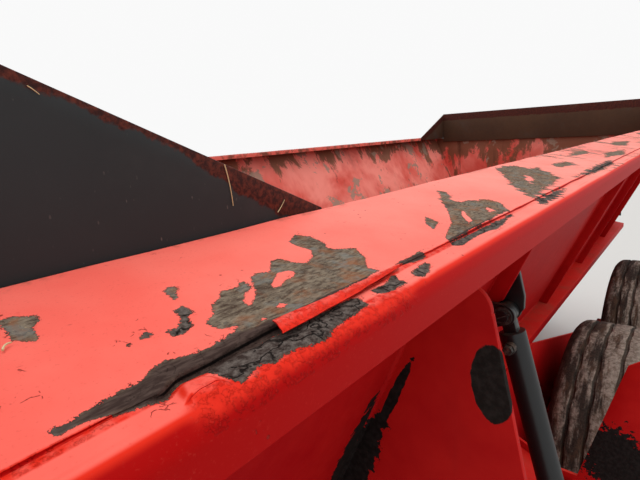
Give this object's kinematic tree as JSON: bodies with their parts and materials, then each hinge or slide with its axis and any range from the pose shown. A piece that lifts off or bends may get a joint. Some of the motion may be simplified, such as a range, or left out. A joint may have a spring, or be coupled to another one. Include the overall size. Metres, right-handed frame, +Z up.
{
  "type": "side discharge manure spreader",
  "caption": "Towed V-tank manure spreader with twin floor augers, side rotor, hinged discharge door, front splash guard and tandem wheels, parked on its jack",
  "frame": {"origin": "on the ground under the middle of the machine's overall box", "axes": "+X forward to the hitch, +Y to the discharge side (the machine's left), +Z up"},
  "size_m": [7, 2.4, 2.27],
  "materials": {
    "red_paint": "weathered red enamel, rust at edges and seams",
    "rail_paint": "sun-faded red enamel, peeling to rust and bare steel",
    "black_guard": "worn black coating with a rusty top edge",
    "brown_board": "weathered dark brown board",
    "bare_steel": "worn bare steel with rust",
    "bearing_iron": "oily grey iron",
    "black_paint": "satin black paint, dusty",
    "rod_chrome": "polished rod",
    "tyre_rubber": "muddy worn rubber",
    "rim_paint": "dull pale grey enamel with dirt",
    "guard_plastic": "black guard plastic",
    "lamp_plastic": "amber and red lenses",
    "sign_plate": "faded orange, no marks"
  },
  "bodies": {
    "spreader": {"wall_left": "red_paint", "wall_right": "red_paint", "trough": "red_paint", "front_wall": "red_paint", "rear_wall": "red_paint", "rail_left": "rail_paint", "rail_right": "rail_paint", "guard_front": "black_guard", "guard_wings": "black_guard", "rear_board": "brown_board", "rear_wings": "brown_board", "wall_ribs": "red_paint", "wall_ledges": "red_paint", "housing_ends": "red_paint", "housing_shell": "red_paint", "hood": "red_paint", "ram_bracket": "black_paint", "shaft_guard": "guard_plastic", "bearings": "bearing_iron", "frame_beams": "red_paint", "saddles": "red_paint", "drawbar": "red_paint", "hitch": "bare_steel", "jack": "black_paint", "drive_cover": "red_paint", "gearbox": "bearing_iron", "driveline": "guard_plastic", "driveline_stand": "bare_steel", "bolster": "red_paint", "brace_plates": "red_paint", "walking_beams": "red_paint", "ladder": "red_paint", "lamp_bar": "black_paint", "lamps": "lamp_plastic", "sign": "sign_plate"},
    "door": {"door": "red_paint"},
    "ram_barrel": {"ram_barrel": "black_paint"},
    "ram_rod": {"ram_rod": "rod_chrome"},
    "rotor": {"rotor": "bare_steel"},
    "auger_left": {"auger_left_shaft": "bare_steel", "auger_left_flight": "bare_steel"},
    "auger_right": {"auger_right_shaft": "bare_steel", "auger_right_flight": "bare_steel"},
    "wheel_front_left": {"wheel_front_left": "rim_paint", "tyre_front_left": "tyre_rubber"},
    "wheel_rear_left": {"wheel_rear_left": "rim_paint", "tyre_rear_left": "tyre_rubber"},
    "wheel_front_right": {"wheel_front_right": "rim_paint", "tyre_front_right": "tyre_rubber"},
    "wheel_rear_right": {"wheel_rear_right": "rim_paint", "tyre_rear_right": "tyre_rubber"}
  },
  "joints": [
    {"name": "door_swing", "type": "hinge", "parent": "spreader", "child": "door", "pos_m": [0.168, 1, 0.812], "axis": [1, 0, 0], "range_deg": [0, 45]},
    {"name": "ram_swing", "type": "hinge", "parent": "spreader", "child": "ram_barrel", "pos_m": [0.173, 0.921, 1.5], "axis": [1, 0, 0], "range_deg": [-1.5, 0]},
    {"name": "ram_slide", "type": "slide", "parent": "ram_barrel", "child": "ram_rod", "axis": [0, 0.27, -0.9629], "range_m": [-0.0835, 0]},
    {"name": "rotor_spin", "type": "hinge", "parent": "spreader", "child": "rotor", "pos_m": [0.168, 0.76, 0.62], "axis": [1, 0, 0], "continuous": true},
    {"name": "auger_left_spin", "type": "hinge", "parent": "spreader", "child": "auger_left", "pos_m": [-0.83, 0.235, 0.74], "axis": [1, 0, 0], "continuous": true},
    {"name": "auger_right_spin", "type": "hinge", "parent": "spreader", "child": "auger_right", "pos_m": [-0.83, -0.235, 0.74], "axis": [1, 0, 0], "continuous": true},
    {"name": "wheel_front_left_spin", "type": "hinge", "parent": "spreader", "child": "wheel_front_left", "pos_m": [-1.06, 1.01, 0.5], "axis": [0, 1, 0], "continuous": true},
    {"name": "wheel_rear_left_spin", "type": "hinge", "parent": "spreader", "child": "wheel_rear_left", "pos_m": [-2.25, 1.01, 0.5], "axis": [0, 1, 0], "continuous": true},
    {"name": "wheel_front_right_spin", "type": "hinge", "parent": "spreader", "child": "wheel_front_right", "pos_m": [-1.06, -1.01, 0.5], "axis": [0, 1, 0], "continuous": true},
    {"name": "wheel_rear_right_spin", "type": "hinge", "parent": "spreader", "child": "wheel_rear_right", "pos_m": [-2.25, -1.01, 0.5], "axis": [0, 1, 0], "continuous": true}
  ],
  "couplings": [
    {"joint": "ram_swing", "follows": "door_swing", "ratio": -0.03},
    {"joint": "ram_slide", "follows": "door_swing", "m_per_rad": -0.1055}
  ]
}
